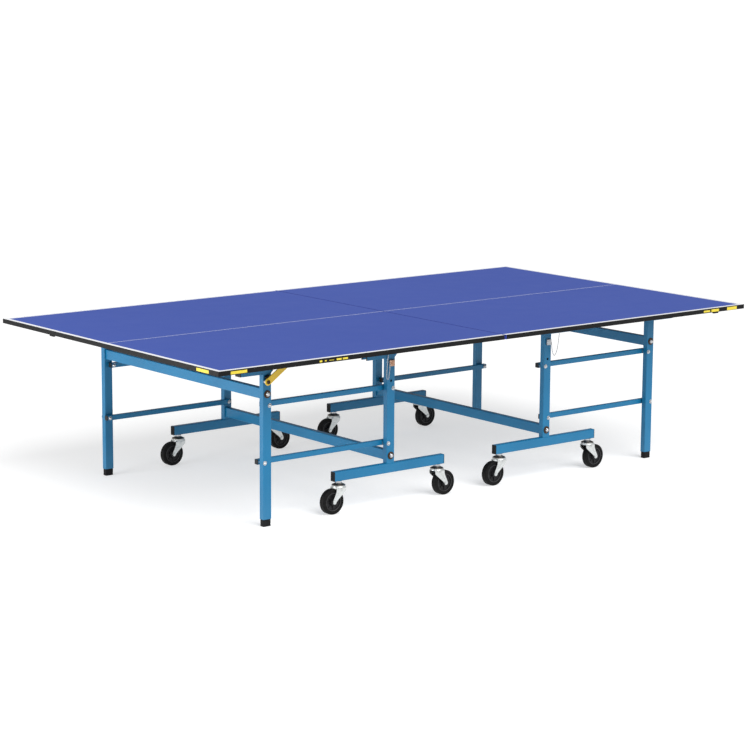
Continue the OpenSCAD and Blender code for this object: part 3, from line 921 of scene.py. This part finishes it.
def yoke_shape():
    """A pressed fork: one bent sheet over the wheel, narrowing to round ends at the axle."""
    cheek = 18 * MM
    top = 105.5 * MM
    bend = 5 * MM
    end_r = 8.5 * MM
    back, front = -22 * MM, 24 * MM
    rib = 1.3 * MM
    rows = []
    heights = [axle_z - end_r * math.cos(math.radians(a)) for a in range(0, 91, 10)]
    heights += [axle_z + (top - bend - axle_z) * i / 12 for i in range(1, 13)]
    for z in heights:
        rows.append((cheek, z))
    for i in range(1, 7):
        angle = math.radians(90 * i / 6)
        rows.append((cheek - bend * (1 - math.cos(angle)), top - bend + bend * math.sin(angle)))
    rows += [(cheek - bend - (cheek - bend) * i / 3, top) for i in range(1, 4)]
    rows += [(-y, z) for y, z in reversed(rows[:-1])]

    def span(z):
        """The cheek's back and front edges at one height, round the axle and straight above it."""
        if z <= axle_z:
            reach = math.sqrt(max(end_r ** 2 - (axle_z - z) ** 2, 0))
            return trail - reach, trail + reach
        share = min((z - axle_z) / (top - 14 * MM - axle_z), 1)
        ease = share * share * (3 - 2 * share)
        return (trail - end_r) + (back - trail + end_r) * (0.75 * share + 0.25 * ease), (
            (trail + end_r) + (front - trail - end_r) * (0.6 * share + 0.4 * ease)
        )

    bm = shape()
    columns = 14
    grid = []
    for y, z in rows:
        x0, x1 = span(z)
        below = min(max((z - axle_z - 8 * MM) / (8 * MM), 0), 1)
        above = min(max((top - 5 * MM - z) / (8 * MM), 0), 1)
        raised = rib * below * above * (1 if y > 0 else -1)
        row = []
        for k in range(columns + 1):
            across = abs(k / columns - 0.5) * 2
            lift = raised * (1 - min(max((across - 0.2) / 0.25, 0), 1))
            row.append(bm.verts.new((x0 + (x1 - x0) * k / columns, y + lift, z)))
        grid.append(row)
    for first, second in zip(grid, grid[1:]):
        for k in range(columns):
            bm.faces.new([first[k], first[k + 1], second[k + 1], second[k]])
    bmesh.ops.remove_doubles(bm, verts=bm.verts[:], dist=1e-6)
    bmesh.ops.recalc_face_normals(bm, faces=bm.faces[:])
    bmesh.ops.solidify(bm, geom=bm.faces[:], thickness=-2.6 * MM)
    return bm


def fork_shape():
    """The yoke with its swivel race on top and the axle's heads at the sides."""
    bm = shape()
    put(bm, yoke_shape())
    base = 104 * MM
    race = [(0, base), (26 * MM, base)]
    race += arc(24.5 * MM, base + 3 * MM, 2.5 * MM, -60, 60, 5)
    race += [(25.2 * MM, base + 5.6 * MM), (25.2 * MM, base + 6.2 * MM)]
    race += arc(25 * MM, base + 8 * MM, 2.0 * MM, -40, 75, 5)
    race += [(21.5 * MM, base + 11 * MM), (17.5 * MM, base + 13.2 * MM)]
    race += [(15.5 * MM, fork_top), (0, fork_top)]
    dome = lathe(race, steps=48)
    # The dome's top under the beam takes the darker race steel: partly its own finish, partly
    # painted shade
    for face in dome.faces:
        face.material_index = 2 if face.calc_center_median().z > base + 7.5 * MM else 0
    put_all(bm, dome)
    seal_z = base + 10 * MM
    seal = [(17.6 * MM, seal_z), (23.4 * MM, seal_z)]
    seal += [(21.8 * MM, seal_z + 1.5 * MM), (18.6 * MM, seal_z + 3 * MM)]
    put(bm, lathe(seal, steps=48, closed=True), slot=1)
    axle_washer = 0.8 * MM
    for side in SIDES:
        outer = along_y(trail, 19.3 * MM, axle_z, side)
        put(bm, washer(8 * MM, axle_washer), outer)
        put(bm, hex_nut(6.4 * MM, 3.4 * MM), outer @ at(0, 0, axle_washer))
    put(bm, rod(4.5 * MM, 42 * MM), along_y(trail, -21 * MM, axle_z))
    return bm


def casters(half):
    turn = TURNS[half]
    steels = [PRESSED, DARK_STEEL, RACE_AND_PAINTED_SHADE]
    plastics = [TYRE, HUB, BEAD_PAINTED_HIGHLIGHT]
    for out, x in (("out", swivel_out_x), ("in", swivel_in_x)):
        for side in SIDES:
            tag = f"{half}_{out}_{end_name(half, side)}"
            facing = Matrix() if out == "out" else Matrix.Rotation(math.pi, 4, "Z")
            place = turn @ at(x, side * side_y, 0) @ facing
            bm = shape()
            put_all(bm, fork_shape(), place)
            fork = piece("caster_fork", tag, bm, steels, "swivel", "fork")
            bevel = fork.modifiers.new("soft_edges", "BEVEL")
            bevel.width = 0.5 * MM
            bevel.segments = 2
            bevel.limit_method = "ANGLE"
            bevel.angle_limit = math.radians(50)
            bm = shape()
            put_all(bm, wheel_shape(), place @ along_y(trail, 0, axle_z))
            piece("caster_wheel", tag, bm, plastics, "roller", "wheel")


# ---- Plastic and rubber trim ----


def beam_caps(half):
    """Ridged plastic caps in the open ends of the caster beams."""
    bm = shape()
    cap = 3 * MM
    plug_t = 14 * MM
    size_z = beam_high.z - beam_low.z
    mid_z = (beam_high.z + beam_low.z) / 2
    ridges = 5
    for x, way in ((beam_low.x, -1), (beam_high.x, 1)):
        cover = rounded_box((cap, tube_y, size_z), 1.2 * MM)
        both_sides(bm, half, cover, (x + way * cap / 2, side_y, mid_z))
        for k in range(ridges):
            y = side_y + (k - (ridges - 1) / 2) * 4.2 * MM
            ridge = rounded_box((2 * MM, 1.8 * MM, size_z - 7 * MM), 0.7 * MM, 2)
            both_sides(bm, half, ridge, (x + way * (cap + 0.1 * MM), y, mid_z))
        plug = rounded_box((plug_t, tube_y - PLUG_FIT, size_z - PLUG_FIT), 1 * MM)
        both_sides(bm, half, plug, (x - way * plug_t / 2, side_y, mid_z))
    piece("caster_beam_caps", half, bm, [CAP], "carriage", "beam_caps")


def foot_blocks(half):
    """Rubber blocks under the legs, with a groove near the ground and a plug inside each leg."""
    bm = shape()
    wide_x, wide_y = tube_x - 3 * MM, tube_y - 3 * MM
    plug_x, plug_y = tube_x - 4.2 * MM, tube_y - 4.2 * MM
    top = high("feet_b").z
    # Height and inset from the block's full width, in millimetres
    steps = [(0, 1.6), (0.6, 0.7), (1.8, 0), (8, 0), (8.6, 0.9), (9.6, 0.9), (10.2, 0)]
    steps.append((foot_top / MM, 0))
    rows = []
    for z, inset in steps:
        rows.append((z * MM, wide_x - 2 * inset * MM, wide_y - 2 * inset * MM, 3 * MM))
    rows += [(foot_top, plug_x, plug_y, 1 * MM), (top - 1 * MM, plug_x, plug_y, 1 * MM)]
    rows.append((top, plug_x - 2 * MM, plug_y - 2 * MM, 1 * MM))
    both_sides(bm, half, loft(rows), (leg_x, side_y, 0))
    piece("foot_blocks", half, bm, [RUBBER], "leg_frame", "feet")


def link_caps(half, level):
    """Plastic caps on the open ends of one pair of link bars."""
    node = f"{level}_links_b"
    bm = shape()
    z = middle(node).z
    cap = 3 * MM
    plug_size = link_size - PLUG_FIT
    for x, way in ((low(node).x, -1), (high(node).x, 1)):
        cover = rounded_box((cap, link_size, link_size), 1.1 * MM)
        both_sides(bm, half, cover, (x + way * cap / 2, link_y, z))
        plug = rounded_box((4.5 * MM, plug_size, plug_size), 0.8 * MM)
        both_sides(bm, half, plug, (x - way * 2.2 * MM, link_y, z))
    piece(f"{level}_link_caps", half, bm, [CAP], f"link_{level}")


def top_trim(half):
    """Plugs in the rails' ends, caps on the brackets' ends and the screws into the board."""
    turn = TURNS[half]
    bm = shape()
    plug_t = 2.4 * MM
    for x, way in ((rail_low.x, -1), (rail_high.x, 1)):
        plug = rounded_box((plug_t, rail_w, rail_h - 0.6 * MM), 1 * MM)
        both_sides(bm, half, plug, (x + way * plug_t / 2, rail_y, under_z - rail_h / 2))
    # The folded leg lies in the post's bracket, so that one is capped plate by plate
    cap_w = 3.3 * MM
    narrow = [(out_face + 2.35 * MM, cap_w), (in_face - 2.35 * MM, cap_w)]
    full = [(side_y, 2 * (plate_out - side_y))]
    for x, caps in ((post_x, narrow), (leg_x, full)):
        for side in SIDES:
            bottom = bracket_bottom(side)
            size_z = (under_z - 3.5 * MM - bottom) * 0.72
            for y, size_y in caps:
                centre_x = x + bracket_out + 1.2 * MM
                place = turn @ at(centre_x, side * y, bottom + size_z / 2)
                put(bm, rounded_box((4 * MM, size_y, size_z), 1.2 * MM), place)
    piece("rail_and_bracket_caps", half, bm, [CAP], "top")
    screws = []
    for x in (post_x, leg_x):
        for side in SIDES:
            for dx in (-10 * MM, bracket_out - 30 * MM):
                for dy in (-22 * MM, 22 * MM):
                    screws.append((x + dx, side * side_y + dy, under_z - plate_t))
    for side in SIDES:
        for share in (0.04, 0.27, 0.5, 0.73, 0.96):
            x = rail_low.x + share * (rail_high.x - rail_low.x)
            screws.append((x, side * rail_y, under_z - rail_h))
    bm = shape()
    for spot in screws:
        socket_screw(bm, turn @ at(*spot) @ FLIP, 4.6 * MM, 2.4 * MM)
    piece("board_screws", half, bm, [ZINC], "top")


def head_sleeves(half):
    """Blue sleeves round the heads of the inner tubes, just above the outer tubes."""
    bottom = tube_top + 0.4 * MM
    height = pivot_z - 6 * MM - bottom
    for x, body in ((post_x, "lift"), (leg_x, "leg_lift")):
        bm = shape()
        both_sides(bm, half, tube(tube_x, tube_y, height), (x, side_y, bottom))
        sleeves = piece(f"{body}_{half}", "head_sleeves", bm, [BLUE], None)
        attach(sleeves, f"{body}_{half}")


def lever_shade_pad(half):
    """Black pad on the leg along the stay lever's upper edge, in the lever's shade: painted shade.
    """
    bm = shape()
    x, z = lever_pivot.x - 2.7 * MM, lever_pivot.z + 19.3 * MM
    place = at(x, out_face + 6.3 * MM, z) @ Matrix.Rotation(lever_rise, 4, "Y")
    # A black block laid where the lever's shade falls on the leg: painted shade
    pad = rounded_box((18 * MM, 12.4 * MM, 8 * MM), 3 * MM, 4)
    put(bm, pad, TURNS[half] @ place)
    piece("lever_rest_pad", half, bm, [CAP], "leg_frame")


def rim_labels():
    """Blank yellow films on the rims; spans along X in metres, with heights in millimetres."""
    mid_z = (top_z + under_z) / 2 - 1 * MM
    film_t = 0.5 * MM
    films = {
        "a": [
            (-1.317, -1.245, 11), (-0.917, -0.905, 7), (-0.893, -0.885, 5), (-0.872, -0.850, 2),
            (-0.838, -0.815, 7), (-0.809, -0.785, 7),
        ],
        "b": [(1.120, 1.158, 8), (1.166, 1.212, 11), (1.262, 1.322, 13)],
    }
    for half, spans in films.items():
        bm = shape()
        for start, stop, tall in spans:
            film = rounded_box((stop - start, film_t, tall * MM), 0.2 * MM, 1)
            put(bm, film, at((start + stop) / 2, -half_width, mid_z))
        if half == "a":
            film = rounded_box((film_t, 78 * MM, 12 * MM), 0.2 * MM, 1)
            put(bm, film, at(-board_end, -0.662, mid_z))
        piece("rim_labels", half, bm, [LABEL], "top")


# ---- Height pins' chains ----

# The chain's route beside a post, in millimetres from the pin's axis: outwards along X, and up
CHAIN_ROUTES = {
    "a": [
        (13, -3), (13.5, -14), (15, -29), (17, -44), (19.5, -57), (23, -63), (27, -60),
        (29, -49), (28.5, -33), (27, -14), (25, 6), (23, 24), (21.5, 38),
    ],
    "b": [
        (13, -3), (13.5, -12), (15, -26), (18, -40), (22, -51), (27, -57), (33, -56),
        (39, -48), (44, -34), (48, -16), (51, 4), (54, 24), (56, 38),
    ],
}
LOW_POINT = 5
MID_POINT = 9
LINK_PITCH = 4.1 * MM
chain_y = out_face + 8.5 * MM


def smooth_route(points, steps=12):
    """Points of a smooth curve through the route."""
    padded = [points[0], *points, points[-1]]
    curve = []
    for i in range(len(points) - 1):
        p0, p1, p2, p3 = padded[i:i + 4]
        for k in range(steps):
            t = k / steps
            a = 2 * p1 + (p2 - p0) * t + (2 * p0 - 5 * p1 + 4 * p2 - p3) * t * t
            curve.append((a + (3 * p1 - p0 - 3 * p2 + p3) * t ** 3) / 2)
    curve.append(points[-1])
    return curve


def spaced(curve, pitch):
    """Points along a curve, one link's pitch apart, and the direction at each."""
    result = []
    travelled = pitch / 2
    length = 0.0
    for first, second in zip(curve, curve[1:]):
        step = (second - first).length
        along = (second - first).normalized()
        while step and length + step >= travelled:
            result.append((first.lerp(second, (travelled - length) / step), along))
            travelled += pitch
        length += step
    return result


def chain_link():
    """One oval wire link, long along X, flat in XZ."""
    wire = 0.55 * MM
    straight = 1.5 * MM
    bend = 1.5 * MM
    points = []
    for way in (1, -1):
        for i in range(7):
            angle = math.radians(-90 + 180 * i / 6)
            reach = straight + bend * math.cos(angle)
            points.append(Vector((way * reach, 0, way * bend * math.sin(angle))))
    return sweep(points, wire, sides=6, closed=True)


def chain(half, side):
    """Links from the pin to the bracket, in three stretches that ride on no body."""
    turn = TURNS[half]
    tag = f"{end_name(half, side)}_{half}"
    carriage, lift = f"carriage_{half}", f"lift_{half}"
    route = [(post_x + x * MM, side * chain_y, pin_z + z * MM) for x, z in CHAIN_ROUTES[half]]
    curve = smooth_route([Vector(spot) for spot in route])
    steps = (len(curve) - 1) // (len(route) - 1)
    cuts = [0, LOW_POINT * steps, MID_POINT * steps, len(curve) - 1]
    knots = [turn @ curve[cut] for cut in cuts]
    lengths = [0.0]
    for first, second in zip(curve, curve[1:]):
        lengths.append(lengths[-1] + (second - first).length)
    parts = [[], [], []]
    for index, (point, along) in enumerate(spaced(curve, LINK_PITCH)):
        travelled = (index + 0.5) * LINK_PITCH
        part = sum(travelled >= lengths[cut] for cut in cuts[1:3])
        parts[part].append((index, point, along))
    for links, label, first_body, second_body, start, end in (
        (parts[0], "pin", carriage, f"pin_{tag}", knots[1], knots[0]),
        (parts[1], "loop", carriage, lift, knots[1], knots[2]),
        (parts[2], "bracket", lift, f"top_{half}", knots[2], knots[3]),
    ):
        bm = shape()
        for index, point, along in links:
            across = Vector((0, 1, 0)).cross(along).normalized()
            basis = Matrix((along, Vector((0, 1, 0)), across)).transposed().to_4x4()
            roll = Matrix.Rotation(math.radians(90 * (index % 2) + 8), 4, "X")
            put(bm, chain_link(), turn @ Matrix.Translation(point) @ basis @ roll)
        obj = piece(f"pin_chain_{label}_part", tag, bm, [ZINC], None)
        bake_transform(obj)
    return obj


def chain_fittings(half):
    """Split rings in the pins' heads, and the eyes on the brackets that the chains hang from."""
    turn = TURNS[half]
    for side in SIDES:
        bm = shape()
        place = turn @ at(post_x + 11.5 * MM, side * chain_y, pin_z)
        put(bm, wire_ring(3.6 * MM, 0.6 * MM), place)
        piece("pin_ring", f"{end_name(half, side)}_{half}", bm, [ZINC], "pin")
    end_x, end_z = CHAIN_ROUTES[half][-1]
    x = post_x + end_x * MM
    z = pin_z + end_z * MM + 3 * MM
    bm = shape()
    for side in SIDES:
        shank = rod(2 * MM, 5 * MM, steps=16)
        put(bm, shank, turn @ along_y(x, plate_out - 0.5 * MM, z, side))
        put(bm, wire_ring(3.4 * MM, 0.9 * MM), turn @ at(x, side * chain_y, z))
    piece("chain_eyes", half, bm, [ZINC], "top")


# ---- Stage ----


def camera():
    """The view of a long lens from the front left, a little above the table."""
    yaw = math.radians(-38.82)
    pitch = math.radians(90 - 10.25)
    roll = math.radians(0.377)
    data = bpy.data.cameras.new("camera")
    data.lens = 112.9
    data.sensor_width = 36
    data.clip_end = 1000
    obj = bpy.data.objects.new("camera", data)
    turned = Matrix.Rotation(yaw, 4, "Z") @ Matrix.Rotation(pitch, 4, "X")
    turned = turned @ Matrix.Rotation(roll, 4, "Z")
    obj.matrix_world = at(-6.100, -7.529, 2.142) @ turned
    bpy.context.scene.collection.objects.link(obj)
    bpy.context.scene.camera = obj


def floor():
    """A pale studio floor that glows a little, like a lit sweep."""
    bpy.ops.mesh.primitive_plane_add(size=600, location=(0, 0, 0))
    obj = bpy.context.object
    obj.name = "floor"
    paint = Paint("pale_floor", 0.9)
    paint.colour(paint.drift((0.60, 0.60, 0.60, 1), (0.62, 0.62, 0.62, 1), 0.8))
    paint.shader.inputs["Emission Color"].default_value = (1, 1, 1, 1)
    paint.shader.inputs["Emission Strength"].default_value = 0.5
    obj.data.materials.append(paint.material)


def aimed(name, data, place, aim):
    obj = bpy.data.objects.new(name, data)
    direction = Vector(aim) - Vector(place)
    obj.location = place
    obj.rotation_euler = direction.to_track_quat("-Z", "Y").to_euler()
    bpy.context.scene.collection.objects.link(obj)


def softbox(name, place, aim, size, watts):
    data = bpy.data.lights.new(name, "AREA")
    data.shape = "RECTANGLE"
    data.size, data.size_y = size
    data.energy = watts
    aimed(name, data, place, aim)


def lights():
    """White surroundings, a broad soft key from the front, and a softbox by the near end."""
    world = bpy.data.worlds.new("studio")
    world.use_nodes = True
    background = world.node_tree.nodes["Background"]
    background.inputs["Color"].default_value = (1, 1, 1, 1)
    background.inputs["Strength"].default_value = 0.36
    bpy.context.scene.world = world
    bpy.context.scene.view_settings.view_transform = "Standard"
    key = bpy.data.lights.new("key", "SUN")
    key.energy = 2.9
    key.angle = math.radians(50)
    aimed("key", key, (0.2, -5.0, 4.6), (0, 0, 0))
    softbox("end_light", (-3.4, 0.3, 0.8), (-1.0, 0, 0.3), (1.6, 0.9), 52)


# ---- Everything ----

camera()
lights()
floor()
finish_nodes()
for half in TURNS:
    edge_band(half)
    pin_holes(half, uprights(half, "posts", "post_tubes", "carriage"))
    uprights(half, "legs", "outer_leg_tubes", "leg_frame")
    cross_beam(half, "lower_cross_beam", "carriage")
    cross_beam(half, "upper_cross_beam", "leg_frame")
    bars_along(half, "caster_beams", tube_y, side_y, "carriage")
    for level in ("upper", "lower"):
        bars_along(half, f"{level}_links", link_size, link_y, f"link_{level}", 2 * MM)
    top_rails(half)
    brackets(half)
    stay_lever(half)
    for side in SIDES:
        height_pin(half, side)
    carriage_hardware(half)
    leg_hardware(half)
    tilt_hardware(half)
    casters(half)
    beam_caps(half)
    foot_blocks(half)
    link_caps(half, "upper")
    link_caps(half, "lower")
    top_trim(half)
    head_sleeves(half)
    lever_shade_pad(half)
    chain_fittings(half)
    ends = [chain(half, side) for side in SIDES]
    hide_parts(f"pin_chains_{half}")
rim_labels()
